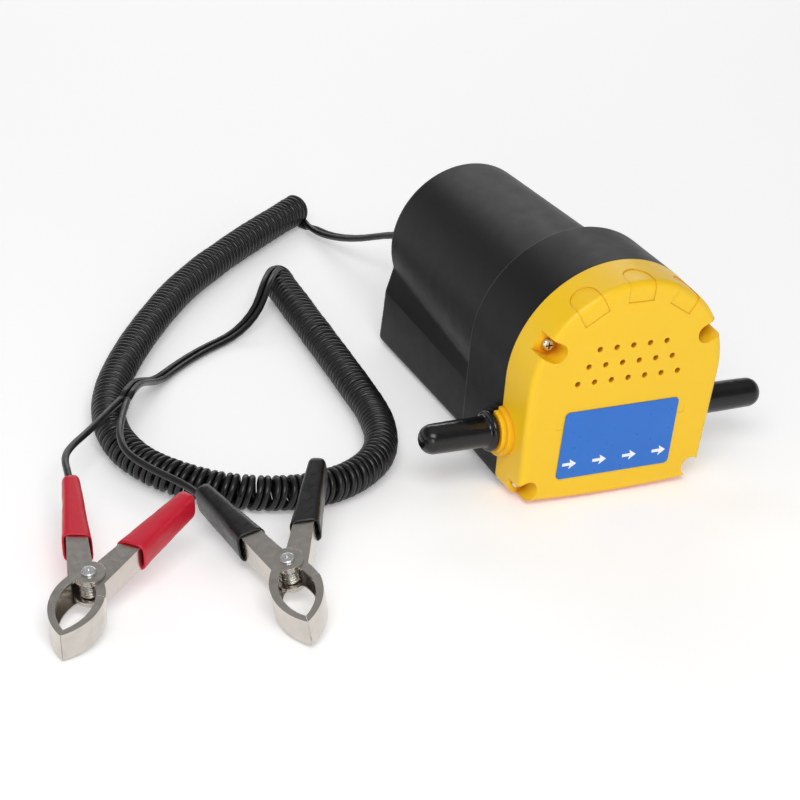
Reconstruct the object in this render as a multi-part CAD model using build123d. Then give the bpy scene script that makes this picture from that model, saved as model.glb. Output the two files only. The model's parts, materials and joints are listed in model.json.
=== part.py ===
from build123d import *
import os
from math import acos, atan2, cos, degrees, pi, radians, sin, sqrt, tan

os.makedirs("parts", exist_ok=True)

# A 12 V gear pump for engine oil. X runs across the pump through both spouts, the yellow cover
# faces -Y, the motor lies along Y behind it, and the pump stands on Z = 0. Sizes in mm.

# Casing
FRONT_Y = -79.0
PARTING_Y = -58.0
RIDGE_Y = -22.0
REAR_Y = 79.0
WALL = 2.5
ARCH_R = 49.0
ARCH_Z = 58.0
SIDE_LEAN = 2.6
PAD_DEPTH = 0.45
HUMP_Z = 54.5
HUMP_R_FRONT = 43.5
HUMP_R_REAR = 36.5
BASE_Z = 1.2

# Cover screws: M3, one near each corner
SCREW_UPPER = (38.0, 76.5)
SCREW_LOWER = (42.0, 8.5)
SCREW_SEAT_Y = -69.0
SCREW_HEAD_R = 2.85
SCREW_R = 1.5
POCKET_R = 4.6

# Vent holes: rows of 7, 6 and 5
VENT_R = 1.3
VENT_PITCH = 8.5
VENT_ROWS = ((60.0, 7), (68.0, 6), (76.0, 5))

# Label
LABEL_W = 58.0
LABEL_H = 33.5
LABEL_Z = 29.5
LABEL_T = 0.4

# Ports
PORT_Z = 29.5
SPOUT_R = 4.0
SPOUT_BORE_R = 2.75
SPOUT_TIP_X = 82.0
CAP_R = 7.0
CAP_TIP_X = 87.5
CAP_RIM_X = 52.7
CAP_RIM_R = 9.2
BOSS_R_OUTER = 11.8
BOSS_R_INNER = 10.0

# Gear pump
PUMP_TEETH = 12
PUMP_MODULE = 1.25
PUMP_GEAR_W = 10.0
GEAR_CENTRES = PUMP_TEETH * PUMP_MODULE
DRIVE_Z = PORT_Z + GEAR_CENTRES / 2
IDLER_Z = PORT_Z - GEAR_CENTRES / 2
CHAMBER_FRONT_Y = PARTING_Y - PUMP_GEAR_W / 2
CHAMBER_REAR_Y = PARTING_Y + PUMP_GEAR_W / 2
BODY_REAR_Y = -47.0
GASKET_T = 0.4
PLATE_FRONT_Y = -68.0
SHAFT_R = 2.5
ADDENDUM = 0.8
DEDENDUM = 1.1
BACKLASH = 0.28
PUMP_SCREWS = ((22.0, 45.0), (22.0, 14.0))

# Reduction from the motor
RED_MODULE = 0.8
PINION_TEETH = 12
WHEEL_TEETH = 33
RED_CENTRES = RED_MODULE * (PINION_TEETH + WHEEL_TEETH) / 2
MOTOR_Z = DRIVE_Z + RED_CENTRES
WHEEL_Y = (-46.0, -40.5)
PINION_Y = (-46.5, -40.0)

# Motor
MOTOR_R = 27.0
CAN_T = 1.6
CAN_FRONT_Y = -36.0
CAN_REAR_Y = 44.0
PLATE_T = 2.0
MAGNET_Y = (-24.0, 26.0)
AIR_GAP = 0.6
MAGNET_T = 5.0
CORE_Y = (-22.0, 22.0)
CORE_R = MOTOR_R - CAN_T - MAGNET_T - AIR_GAP
COMMUTATOR_R = 7.5
MOTOR_SCREW_AT = 15.0
LEAD_X = 17.0

# Cable
CABLE_D = 4.6
WIRE_D = 3.2
CURLY_D = 16.4
GLAND_AT = (-4.0, 40.0)
GLAND_LEN = 20.0

# Battery clamp, in its own frame: the rivet is on z, the jaws point along +x, the wired lever is
# on the -y side and the moving lever on the +y side
TIP_X = 38.0
TIP_GAP = 0.1
JAW_BULGE = (19.0, 10.6)
NECK = (4.0, 7.6)
HANDLE_LEN = 60.0
HANDLE_ANGLE = 24.0
HANDLE_DEPTH = 5.6
CLAMP_W = 13.0
SHEET_T = 1.0
LUG_R = 6.6
RIVET_R = 1.6
SLEEVE_T = 1.1
SLEEVE_FROM = 22.5
SLEEVE_SLANT = 14.0

# Where each clamp lies: rivet position, heading of the jaws, tip-down pitch, roll
RED_CLAMP = ((-256.0, -101.0, 13.8), -127.8, 10.0, 5.0)
BLACK_CLAMP = ((-174.5, -114.5, 14.0), -101.7, 8.0, 16.0)


def box(x0, x1, y0, y1, z0, z1):
    centre = Pos((x0 + x1) / 2, (y0 + y1) / 2, (z0 + z1) / 2)
    return centre * Box(x1 - x0, y1 - y0, z1 - z0)


def rod_y(r, y0, y1, x=0.0, z=0.0):
    return Pos(x, (y0 + y1) / 2, z) * Rot(90, 0, 0) * Cylinder(r, y1 - y0)


def rod_x(r, x0, x1, y=0.0, z=0.0):
    return Pos((x0 + x1) / 2, y, z) * Rot(0, 90, 0) * Cylinder(r, abs(x1 - x0))


def xz_plane(y):
    """The plane at this y, drawn with X to the right and Z up."""
    return Plane(origin=(0, y, 0), x_dir=(1, 0, 0), z_dir=(0, -1, 0))


def prism_y(face, y0, y1):
    """Extrude a face drawn in X and Z from the larger y0 forward to y1."""
    return extrude(xz_plane(y0) * face, amount=y0 - y1)


def mirror_x(shape):
    return mirror(shape, about=Plane.YZ)


def both_sides(shape):
    return shape + mirror_x(shape)


# ---------------------------------------------------------------- casing

def arch_face(inset=0.0):
    """Horseshoe outline: round top, sides that close in a little, rounded corners, bowed bottom."""
    r = ARCH_R - inset
    lean = radians(SIDE_LEAN)
    side_z = ARCH_Z - r * sin(lean)
    side_x = r * cos(lean)
    low_z = 2.6 + inset
    low_x = side_x - (side_z - low_z) * tan(lean)
    top = ThreePointArc((-side_x, side_z), (0, ARCH_Z + r), (side_x, side_z))
    right = Line((side_x, side_z), (low_x, low_z))
    bottom = ThreePointArc((low_x, low_z), (0, 0.5 + inset), (-low_x, low_z))
    left = Line((-low_x, low_z), (-side_x, side_z))
    face = make_face(Wire([top, right, bottom, left]))
    return fillet([v for v in face.vertices() if v.Y < ARCH_Z / 2], 5.5)


def hump_face(hump_r, waist_z, shoulder_x, shoulder_z, inset=0.0):
    """Motor tunnel on a base block, with a concave waist between them."""
    r = hump_r - inset
    waist_x = sqrt(r * r - (waist_z - HUMP_Z) ** 2)
    side_x = shoulder_x - inset
    base_z = BASE_Z + inset
    top = ThreePointArc((-waist_x, waist_z), (0, HUMP_Z + r), (waist_x, waist_z))
    right = Polyline((waist_x, waist_z), (side_x, shoulder_z), (side_x, base_z))
    bottom = Line((side_x, base_z), (-side_x, base_z))
    left = Polyline((-side_x, base_z), (-side_x, shoulder_z), (-waist_x, waist_z))
    face = make_face(Wire([top, *right.edges(), bottom, *left.edges()]))
    face = fillet([v for v in face.vertices() if v.Y > base_z + 1.0], 4.0)
    return fillet([v for v in face.vertices() if v.Y < base_z + 1.0], 3.0)


def tunnel(inset, front_y, rear_y):
    """The rear part of the housing as a solid, smaller all round by the inset."""
    front_face = xz_plane(front_y) * hump_face(HUMP_R_FRONT, 33.0, 38.0, 25.0, inset)
    rear_face = xz_plane(rear_y) * hump_face(HUMP_R_REAR, 40.5, 36.5, 28.0, inset)
    return loft([front_face, rear_face])


def drafted_arch(y0, y1, inset0, inset1):
    """Solid of the horseshoe outline between two planes, with its own inset at each."""
    return loft([xz_plane(y0) * arch_face(inset0), xz_plane(y1) * arch_face(inset1)])


def screw_points():
    return [(side * x, z) for x, z in (SCREW_UPPER, SCREW_LOWER) for side in (-1, 1)]


def screw_pocket(x, z, r, seat_y):
    """Round pocket over a cover screw, open through the side wall beside it."""
    reach = 20.0
    angle = degrees(atan2(z - ARCH_Z, x))
    if z < ARCH_Z / 2:
        angle = -45.0 if x > 0 else -135.0
    slot = Pos(x, 0, z) * Rot(0, -angle, 0) * box(0, reach, seat_y - 30, seat_y, -r, r)
    return rod_y(r, seat_y - 30, seat_y, x, z) + slot


def port_boss():
    """Two stepped rings round the port, on the side wall of both casing halves."""
    outer = rod_x(BOSS_R_OUTER, 44.0, ARCH_R + 1.2, PARTING_Y, PORT_Z)
    inner = rod_x(BOSS_R_INNER, 44.0, ARCH_R + 3.4, PARTING_Y, PORT_Z)
    return outer + inner


def port_hole():
    return rod_x(SPOUT_R + 0.4, 30.0, 60.0, PARTING_Y, PORT_Z)


def grip_pad(angle):
    """Prism that marks one D-shaped recess over the edge between face and side wall."""
    half_w = 6.5
    reach = 12.5
    tip = ThreePointArc((-half_w, reach - half_w), (0, reach), (half_w, reach - half_w))
    sides = Polyline((half_w, reach - half_w), (half_w, -2), (-half_w, -2), (-half_w, reach - half_w))
    face = make_face(Wire([tip, *sides.edges()]))
    face = fillet([v for v in face.vertices() if v.Y < 0], 1.0)
    plane = Plane(origin=(0, FRONT_Y, 39.0), x_dir=(1, 0, 0), z_dir=(0, 0, 1))
    pad = extrude(plane * face, amount=20)
    return Pos(0, 0, ARCH_Z) * Rot(0, 90 - angle, 0) * pad


def face_recess():
    """Arch-topped hollow in the cover's face, deepest at the top and fading out downwards."""
    r = 33.0
    deep = 0.9
    fade = 34.0
    arc = ThreePointArc((-r, 0), (0, r), (r, 0))
    sides = Polyline((r, 0), (r, -20), (-r, -20), (-r, 0))
    face = make_face(Wire([arc, *sides.edges()]))
    tilt = degrees(atan2(deep, r + fade - 20))
    plane = Plane(origin=(0, FRONT_Y, ARCH_Z - 14), x_dir=(1, 0, 0), z_dir=(0, -1, 0)).rotated((tilt, 0, 0))
    return extrude(plane * Pos(0, 14) * face, amount=6)


def vent_points():
    for z, count in VENT_ROWS:
        for i in range(count):
            yield (i - (count - 1) / 2) * VENT_PITCH, z


def front_cover():
    shell = drafted_arch(PARTING_Y, FRONT_Y, 0.0, 0.5)
    rim = shell.edges().group_by(Axis.Y)[0]
    shell = fillet(rim, 3.0)
    core = drafted_arch(PARTING_Y + 5, FRONT_Y + PAD_DEPTH, PAD_DEPTH, PAD_DEPTH + 0.5)
    skin = shell - fillet(core.edges().group_by(Axis.Y)[0], 3.0)
    for angle in (122.0, 90.0, 58.0):
        shell -= skin & grip_pad(angle)
    shell -= face_recess()
    cavity = drafted_arch(PARTING_Y + 1, FRONT_Y + WALL, WALL, WALL + 0.4)
    for x, z in screw_points():
        shell -= screw_pocket(x, z, POCKET_R, SCREW_SEAT_Y)
        cavity -= screw_pocket(x, z, POCKET_R + 2.0, SCREW_SEAT_Y + 2.5)
        cavity -= rod_y(4.2, SCREW_SEAT_Y, PARTING_Y + 2, x, z)
    shell -= cavity
    front_half = box(-60, 60, FRONT_Y, PARTING_Y, 0, 120)
    shell += both_sides(port_boss()) & front_half & box(-60, 60, PARTING_Y - 16, PARTING_Y, 0, 60)
    shell -= both_sides(port_hole())
    for x, z in screw_points():
        shell -= rod_y(SCREW_R + 0.25, SCREW_SEAT_Y - 1, PARTING_Y + 1, x, z)
    for x, z in vent_points():
        shell -= rod_y(VENT_R, FRONT_Y - 2, FRONT_Y + 6, x, z)
    return shell


def flange():
    """Front part of the rear housing, behind the parting line."""
    solid = drafted_arch(RIDGE_Y, PARTING_Y, 1.0, 0.0)
    back_edges = solid.edges().group_by(Axis.Y)[-1]
    return fillet(back_edges, 2.2)


def plate_posts():
    """Where the motor plate is screwed to the housing."""
    return [(-38.0, 47.0), (38.0, 47.0), (0.0, 93.0)]


def cradle_rib(y):
    """Cross wall in the tunnel that holds the motor can, with a gap for the wires below it."""
    wall = tunnel(WALL - 0.4, RIDGE_Y, REAR_Y - 1.0) & box(-60, 60, y, y + 2.5, 0, 110)
    wall -= rod_y(MOTOR_R + 0.1, y - 1, y + 4, 0, MOTOR_Z)
    return wall - box(-9, 9, y - 1, y + 4, 8, 24)


def foot(x, y):
    return fillet((Pos(x, y, 0.9) * Box(6, 16, 1.8)).edges().filter_by(Axis.Z), 1.2)


def rear_housing():
    rear = tunnel(0.0, RIDGE_Y - 6, REAR_Y)
    rear = fillet(rear.edges().group_by(Axis.Y)[-1], 3.5)
    shell = flange() + rear
    shell -= drafted_arch(RIDGE_Y - WALL, PARTING_Y - 1, WALL + 1.0, WALL)
    shell -= tunnel(WALL, RIDGE_Y - 6, REAR_Y - WALL)
    for x, z in screw_points():
        shell += rod_y(4.3, PARTING_Y, RIDGE_Y - 1, x, z)
    for x, z in plate_posts():
        shell += rod_y(4.0, CAN_FRONT_Y, -14.0, x, z)
    shell += cradle_rib(-4.0) + cradle_rib(30.0)
    for x in (-31.0, 31.0):
        for y in (-14.0, 55.0):
            shell += foot(x, y)
    rear_half = box(-60, 60, PARTING_Y, PARTING_Y + 16, 0, 60)
    shell += both_sides(port_boss()) & rear_half
    shell -= both_sides(port_hole())
    for x, z in screw_points():
        shell -= rod_y(SCREW_R + 0.02, PARTING_Y - 1, PARTING_Y + 20, x, z)
    for x, z in plate_posts():
        shell -= rod_y(SCREW_R + 0.02, CAN_FRONT_Y - 1, CAN_FRONT_Y + 12, x, z)
    shell -= rod_y(6.0, REAR_Y - 6, REAR_Y + 2, *GLAND_AT)
    return shell


def label():
    """Rounded plate stuck to the lower half of the cover's face."""
    face = RectangleRounded(LABEL_W, LABEL_H, 2.2)
    return prism_y(Pos(0, LABEL_Z) * face, FRONT_Y, FRONT_Y - LABEL_T)


def pan_screw(x, z, seat_y, tip_y, shank_r, head_r, head_h):
    """Cross-head pan screw pointing towards +Y, its head in front of the seat."""
    head = rod_y(head_r, seat_y - head_h, seat_y, x, z)
    head = fillet(head.edges().group_by(Axis.Y)[0], head_h * 0.55)
    slot = head_r * 0.6
    for w, h in ((slot, 0.35), (0.35, slot)):
        head -= box(x - w, x + w, seat_y - head_h - 1, seat_y - head_h * 0.35, z - h, z + h)
    return head + rod_y(shank_r, seat_y, tip_y, x, z)


def cover_screws():
    return [pan_screw(x, z, SCREW_SEAT_Y, PARTING_Y + 17, SCREW_R, SCREW_HEAD_R, 2.0)
            for x, z in screw_points()]


# ---------------------------------------------------------------- gear pump

def pump_screw_points():
    return [(side * x, z) for x, z in PUMP_SCREWS for side in (-1, 1)]


def pump_outline():
    face = Pos(0, PORT_Z) * RectangleRounded(56, 44, 7)
    return face


def figure_eight(r, y0, y1):
    return rod_y(r, y0, y1, 0, DRIVE_Z) + rod_y(r, y0, y1, 0, IDLER_Z)


def chamber():
    tip_r = PUMP_MODULE * (PUMP_TEETH / 2 + ADDENDUM)
    return figure_eight(tip_r + 0.06, CHAMBER_FRONT_Y - 1, CHAMBER_REAR_Y)


def pump_body():
    body = prism_y(pump_outline(), BODY_REAR_Y, CHAMBER_FRONT_Y)
    for x, z in pump_screw_points():
        body += rod_y(4.2, BODY_REAR_Y - 1, CAN_FRONT_Y - PLATE_T, x, z)
    body -= chamber()
    body -= both_sides(rod_x(3.0, 3.0, 18.0, PARTING_Y, PORT_Z))
    body -= both_sides(rod_x(SPOUT_R, 17.0, 30.0, PARTING_Y, PORT_Z))
    body -= figure_eight(4.0, CHAMBER_REAR_Y - 1, CHAMBER_REAR_Y + 3)
    body -= rod_y(5.0, CHAMBER_REAR_Y + 3, BODY_REAR_Y + 1, 0, DRIVE_Z)
    for x, z in pump_screw_points():
        body -= rod_y(2.05, CHAMBER_FRONT_Y - 1, CAN_FRONT_Y, x, z)
    return body


def pump_gasket():
    sheet = prism_y(pump_outline(), CHAMBER_FRONT_Y, CHAMBER_FRONT_Y - GASKET_T)
    sheet -= figure_eight(11.0, CHAMBER_FRONT_Y - 1, CHAMBER_FRONT_Y + 1)
    for x, z in pump_screw_points():
        sheet -= rod_y(2.4, CHAMBER_FRONT_Y - 1, CHAMBER_FRONT_Y + 1, x, z)
    return sheet


def pump_end_plate():
    plate = prism_y(pump_outline(), CHAMBER_FRONT_Y - GASKET_T, PLATE_FRONT_Y)
    plate -= figure_eight(4.0, CHAMBER_FRONT_Y - 4.0, CHAMBER_FRONT_Y)
    for x, z in pump_screw_points():
        plate -= rod_y(2.05, PLATE_FRONT_Y - 1, CHAMBER_FRONT_Y, x, z)
    return plate


def pump_screws():
    return [pan_screw(x, z, PLATE_FRONT_Y, CAN_FRONT_Y, 2.0, 3.6, 2.6) for x, z in pump_screw_points()]


def bush(y0, y1, z):
    return rod_y(4.0, y0, y1, 0, z) - rod_y(SHAFT_R + 0.04, y0 - 1, y1 + 1, 0, z)


def shaft_bushes():
    bushes = []
    for z in (DRIVE_Z, IDLER_Z):
        bushes.append(bush(CHAMBER_FRONT_Y - 4.0, CHAMBER_FRONT_Y - 0.1, z))
        bushes.append(bush(CHAMBER_REAR_Y + 0.1, CHAMBER_REAR_Y + 3, z))
    return bushes


def shaft_seal():
    ring = rod_y(5.0, CHAMBER_REAR_Y + 3, BODY_REAR_Y, 0, DRIVE_Z)
    return ring - rod_y(SHAFT_R + 0.04, CHAMBER_REAR_Y + 2, BODY_REAR_Y + 1, 0, DRIVE_Z)


def gear_face(teeth, module, tooth_at):
    """Involute gear with stub teeth and a little backlash, one tooth centred on the given angle."""
    pitch_r = module * teeth / 2
    base_r = pitch_r * cos(radians(20))
    tip_r = pitch_r + ADDENDUM * module
    root_r = pitch_r - DEDENDUM * module
    half_pitch = pi / (2 * teeth) - BACKLASH / (2 * pitch_r)

    def involute(r):
        turn = acos(min(1.0, base_r / r))
        return tan(turn) - turn

    def half_angle(r):
        return half_pitch + involute(pitch_r) - involute(max(r, base_r))

    def point(r, angle):
        return r * cos(angle), r * sin(angle)

    radii = [max(base_r, root_r) + (tip_r - max(base_r, root_r)) * i / 4 for i in range(5)]
    if root_r < base_r:
        radii.insert(0, root_r)
    points = []
    for i in range(teeth):
        centre = radians(tooth_at) + 2 * pi * i / teeth
        points += [point(r, centre - half_angle(r)) for r in radii]
        points += [point(r, centre + half_angle(r)) for r in reversed(radii)]
    return make_face(Polyline(*points, close=True))


def spur_gear(teeth, module, tooth_at, y0, y1, z, bore_r):
    face = Pos(0, z) * gear_face(teeth, module, tooth_at)
    return prism_y(face, y1, y0) - rod_y(bore_r, y0 - 1, y1 + 1, 0, z)


def pump_drive_gear():
    front = CHAMBER_FRONT_Y + 0.06
    return spur_gear(PUMP_TEETH, PUMP_MODULE, -90, front, CHAMBER_REAR_Y - 0.06, DRIVE_Z, SHAFT_R)


def pump_idler_gear():
    front = CHAMBER_FRONT_Y + 0.06
    gap_up = 90 + 180 / PUMP_TEETH
    return spur_gear(PUMP_TEETH, PUMP_MODULE, gap_up, front, CHAMBER_REAR_Y - 0.06, IDLER_Z, SHAFT_R)


def reduction_gear():
    wheel = spur_gear(WHEEL_TEETH, RED_MODULE, 90, *WHEEL_Y, DRIVE_Z, SHAFT_R)
    for i in range(5):
        at = radians(72 * i)
        wheel -= rod_y(2.2, WHEEL_Y[0] - 1, WHEEL_Y[1] + 1, 7.4 * cos(at), DRIVE_Z + 7.4 * sin(at))
    return wheel


def motor_pinion():
    gap_down = -90 + 180 / PINION_TEETH
    return spur_gear(PINION_TEETH, RED_MODULE, gap_down, *PINION_Y, MOTOR_Z, SHAFT_R)


def drive_shaft():
    return rod_y(SHAFT_R, CHAMBER_FRONT_Y - 3.8, WHEEL_Y[1] + 0.8, 0, DRIVE_Z)


def idler_shaft():
    return rod_y(SHAFT_R, CHAMBER_FRONT_Y - 3.8, CHAMBER_REAR_Y + 2.8, 0, IDLER_Z)


def spout():
    """Plain steel pipe pressed into the pump body, with a collar against it."""
    pipe = rod_x(SPOUT_R, 18.0, SPOUT_TIP_X, PARTING_Y, PORT_Z)
    pipe = chamfer(pipe.edges().group_by(Axis.X)[-1], 0.7)
    pipe += rod_x(6.2, 28.0, 31.0, PARTING_Y, PORT_Z)
    return pipe - rod_x(SPOUT_BORE_R, 17.0, SPOUT_TIP_X + 1, PARTING_Y, PORT_Z)


def spout_cap():
    """Closed rubber cap with a domed end and a collar that sits against the port's rings."""
    cap = rod_x(CAP_R, CAP_RIM_X, CAP_TIP_X, PARTING_Y, PORT_Z)
    cap = fillet(cap.edges().group_by(Axis.X)[-1], CAP_R - 0.6)
    collar = rod_x(CAP_RIM_R, CAP_RIM_X, CAP_RIM_X + 2.8, PARTING_Y, PORT_Z)
    collar = fillet(collar.edges(), 1.0)
    return cap + collar - rod_x(SPOUT_R + 0.25, CAP_RIM_X - 1, SPOUT_TIP_X + 1.2, PARTING_Y, PORT_Z)


# ---------------------------------------------------------------- motor

def motor_plate():
    """Steel plate between the gear pump and the motor, screwed to the housing at three ears."""
    y0 = CAN_FRONT_Y - PLATE_T
    plate = rod_y(30.0, y0, CAN_FRONT_Y, 0, MOTOR_Z)
    plate += box(-28, 28, y0, CAN_FRONT_Y, 8, 40)
    for x, z in plate_posts():
        plate += rod_y(4.5, y0, CAN_FRONT_Y, x, z)
    plate += box(-40, 40, y0, CAN_FRONT_Y, 43.5, 50.5) + box(-4, 4, y0, CAN_FRONT_Y, 80, 94)
    for x, z in plate_posts():
        plate -= rod_y(SCREW_R + 0.05, y0 - 1, CAN_FRONT_Y + 1, x, z)
    for x, z in pump_screw_points():
        plate -= rod_y(2.0, y0 - 1, CAN_FRONT_Y + 1, x, z)
    for x in (-MOTOR_SCREW_AT, MOTOR_SCREW_AT):
        plate -= rod_y(SCREW_R + 0.05, y0 - 1, CAN_FRONT_Y + 1, x, MOTOR_Z)
    return plate - rod_y(7.2, y0 - 1, CAN_FRONT_Y + 1, 0, MOTOR_Z)


def plate_screws():
    y0 = CAN_FRONT_Y - PLATE_T
    return [pan_screw(x, z, y0, CAN_FRONT_Y + 10, SCREW_R, SCREW_HEAD_R, 2.0) for x, z in plate_posts()]


def motor_screws():
    y0 = CAN_FRONT_Y - PLATE_T
    return [pan_screw(x, MOTOR_Z, y0, CAN_FRONT_Y + 3.5, SCREW_R, SCREW_HEAD_R, 1.8)
            for x in (-MOTOR_SCREW_AT, MOTOR_SCREW_AT)]


def motor_can():
    """Deep-drawn steel can with a closed front, a bearing neck and two tapped holes."""
    can = rod_y(MOTOR_R, CAN_FRONT_Y, CAN_REAR_Y, 0, MOTOR_Z)
    can -= rod_y(MOTOR_R - CAN_T, CAN_FRONT_Y + CAN_T, CAN_REAR_Y + 1, 0, MOTOR_Z)
    can += rod_y(6.2, CAN_FRONT_Y - 3.2, CAN_FRONT_Y + 3, 0, MOTOR_Z)
    can -= rod_y(4.0, CAN_FRONT_Y - 4, CAN_FRONT_Y + 4, 0, MOTOR_Z)
    for x in (-MOTOR_SCREW_AT, MOTOR_SCREW_AT):
        can -= rod_y(SCREW_R, CAN_FRONT_Y - 1, CAN_FRONT_Y + 4, x, MOTOR_Z)
    return can


def magnets():
    outer_r = MOTOR_R - CAN_T
    ring = rod_y(outer_r, *MAGNET_Y, 0, MOTOR_Z)
    ring -= rod_y(outer_r - MAGNET_T, MAGNET_Y[0] - 1, MAGNET_Y[1] + 1, 0, MOTOR_Z)
    gap = box(-7, 7, MAGNET_Y[0] - 1, MAGNET_Y[1] + 1, 0, 110)
    return (ring - gap).solids()


def motor_end_cap():
    cap = rod_y(MOTOR_R, CAN_REAR_Y, CAN_REAR_Y + 3, 0, MOTOR_Z)
    cap += rod_y(6.5, CAN_REAR_Y, CAN_REAR_Y + 9, 0, MOTOR_Z)
    cap -= rod_y(4.0, CAN_REAR_Y - 1, CAN_REAR_Y + 7, 0, MOTOR_Z)
    for side in (-1, 1):
        cap -= rod_y(1.6, CAN_REAR_Y - 1, CAN_REAR_Y + 4, side * LEAD_X, MOTOR_Z)
    return cap


def motor_bushes():
    bushes = []
    for y0, y1 in ((CAN_FRONT_Y - 3.2, CAN_FRONT_Y + 2.8), (CAN_REAR_Y + 1.5, CAN_REAR_Y + 6.8)):
        bushes.append(bush(y0, y1, MOTOR_Z))
    return bushes


def motor_shaft():
    return rod_y(SHAFT_R, PINION_Y[0], CAN_REAR_Y + 6.5, 0, MOTOR_Z)


def slots(r0, r1, half_w, y0, y1, count):
    bar = box(r0, r1, y0, y1, -half_w, half_w)
    return [Pos(0, 0, MOTOR_Z) * Rot(0, 360 / count * i, 0) * bar for i in range(count)]


def armature_core():
    """Stack of laminations with eight slots for the wire."""
    core = rod_y(CORE_R, *CORE_Y, 0, MOTOR_Z) - rod_y(SHAFT_R, CORE_Y[0] - 1, CORE_Y[1] + 1, 0, MOTOR_Z)
    for slot in slots(9.0, CORE_R + 1, 2.2, CORE_Y[0] - 1, CORE_Y[1] + 1, 8):
        core -= slot
    return core


def armature_windings():
    """Copper wire in the slots, with a rounded end turn at each end."""
    wire = Part() + slots(9.4, CORE_R - 1.0, 2.0, CORE_Y[0] - 1, CORE_Y[1] + 1, 8)
    for y0 in (CORE_Y[0] - 5.5, CORE_Y[1] + 0.2):
        turn = rod_y(17.5, y0, y0 + 5.3, 0, MOTOR_Z)
        turn = fillet(turn.edges(), 2.0)
        wire += turn - rod_y(7.0, y0 - 1, y0 + 7, 0, MOTOR_Z)
    return wire


def commutator():
    drum = rod_y(COMMUTATOR_R, 29.0, 41.5, 0, MOTOR_Z) - rod_y(SHAFT_R, 28, 42, 0, MOTOR_Z)
    for slot in slots(COMMUTATOR_R - 1, COMMUTATOR_R + 1, 0.3, 28.0, 40.5, 8):
        drum -= slot
    return drum


def brush_holders():
    """Open-ended box for each brush, standing on the end cap."""
    frame = box(9.5, 20.0, 31.0, CAN_REAR_Y, MOTOR_Z - 4, MOTOR_Z + 4)
    frame -= box(9.0, 18.8, 32.5, 38.5, MOTOR_Z - 2.6, MOTOR_Z + 2.6)
    return [frame, mirror_x(frame)]


def brushes():
    brush = box(COMMUTATOR_R + 0.1, 14.0, 32.6, 38.4, MOTOR_Z - 2.5, MOTOR_Z + 2.5)
    return [brush, mirror_x(brush)]


def coil_spring(pitch, height, r, wire_r):
    """Helical spring along +Z from the origin."""
    path = Helix(pitch=pitch, height=height, radius=r)
    section = Plane(origin=path @ 0, z_dir=path % 0) * Circle(wire_r)
    return sweep(section, path=path)


def brush_springs():
    spring = Pos(14.4, 35.5, MOTOR_Z) * Rot(0, 90, 0) * coil_spring(1.0, 4.0, 1.8, 0.28)
    return [spring, mirror_x(spring)]


# ---------------------------------------------------------------- cable

def corner_radii(points):
    """Radius of each bend: as large as the two runs beside it allow."""
    radii = []
    for before, at, after in zip(points, points[1:], points[2:]):
        run_in = Vector(*at) - Vector(*before)
        run_out = Vector(*after) - Vector(*at)
        half_turn = radians(run_in.get_angle(run_out)) / 2
        radii.append(0.45 * min(run_in.length, run_out.length) / tan(half_turn))
    return radii


def cord_tube(name, points, diameter):
    radii = corner_radii(points)
    path = FilletPolyline(*points, radius=radii)
    tube = sweep(Plane(origin=path @ 0, z_dir=path % 0) * Circle(diameter / 2), path=path)
    ideal = pi * diameter ** 2 / 4 * path.length
    runs = [(Vector(*b) - Vector(*a)).length for a, b in zip(points, points[1:])]
    print(f"{name}: length {path.length:.0f}, smallest bend {min(radii):.0f}, "
          f"runs {min(runs):.0f} to {max(runs):.0f}, volume over ideal {tube.volume / ideal:.4f}")
    return tube


def cable_gland():
    """Rubber strain relief: a flange inside the rear wall, a neck in its hole and a ribbed taper."""
    x, z = GLAND_AT
    inside = REAR_Y - WALL
    gland = rod_y(8.5, inside - 2.5, inside, x, z) + rod_y(6.0, inside - 1, REAR_Y, x, z)
    gland += rod_y(7.6, REAR_Y, REAR_Y + 2.2, x, z)
    taper = Pos(x, REAR_Y + 2.0 + GLAND_LEN / 2, z) * Rot(-90, 0, 0) * Cone(5.6, 3.7, GLAND_LEN)
    for i in range(4):
        y = REAR_Y + 6.0 + 4.5 * i
        taper -= rod_y(8.0, y, y + 1.6, x, z) - rod_y(3.4, y - 1, y + 3, x, z)
    return gland + taper - rod_y(CABLE_D / 2, inside - 5, REAR_Y + GLAND_LEN + 5, x, z)


def motor_leads():
    """Two insulated wires from the brush holders, through the end cap, to the cable."""
    x, z = GLAND_AT
    leads = []
    for side in (-1, 1):
        start = (side * LEAD_X, CAN_REAR_Y - 0.5, MOTOR_Z)
        points = [start, (side * LEAD_X, 54, MOTOR_Z), (side * 8 + x, 63, 46), (x + side * 1.2, 73, z)]
        leads.append(cord_tube("motor lead", points, 2.0))
    return leads


SUPPLY_ROUTE = [(-4, 74, 40), (-4, 104, 39), (-7, 128, 30), (-13, 152, 17), (-17, 176, 9), (-19.5, 199, 7.5)]
CURLY_ROUTE = [(-17, 208, 8.3), (-94, 159, 8.3), (-155, 96, 8.3), (-196, 38, 8.3), (-201, -10, 8.3),
               (-168, -47, 8.3), (-120, -54, 8.3), (-80, -24, 8.3), (-72, 50, 8.3), (-65, 138, 8.3)]
TWIN_ROUTE = [(-60, 132, 13.5), (-66, 122, 21), (-77, 112, 21), (-90, 103, 10), (-104, 96, 2.6),
              (-124, 87, 2.5), (-143, 75, 2.5), (-158, 62, 4), (-170, 50, 12), (-181, 38, 19), (-191, 24, 20)]
RED_ROUTE = [(-191, 24, 20), (-203, 15, 19.5), (-216, 4, 18.5), (-228, -7, 19.5), (-236, -19, 22),
             (-239.4, -33, 22.4), (-242.6, -46, 20.8)]
BLACK_ROUTE = [(-191, 24, 20), (-198, 10, 19.8), (-204.5, -3, 19.3), (-206.5, -16, 18.3), (-201, -28, 17),
               (-193.5, -38, 15.8), (-188.4, -47, 15.2), (-186.4, -56, 14.9)]


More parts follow.
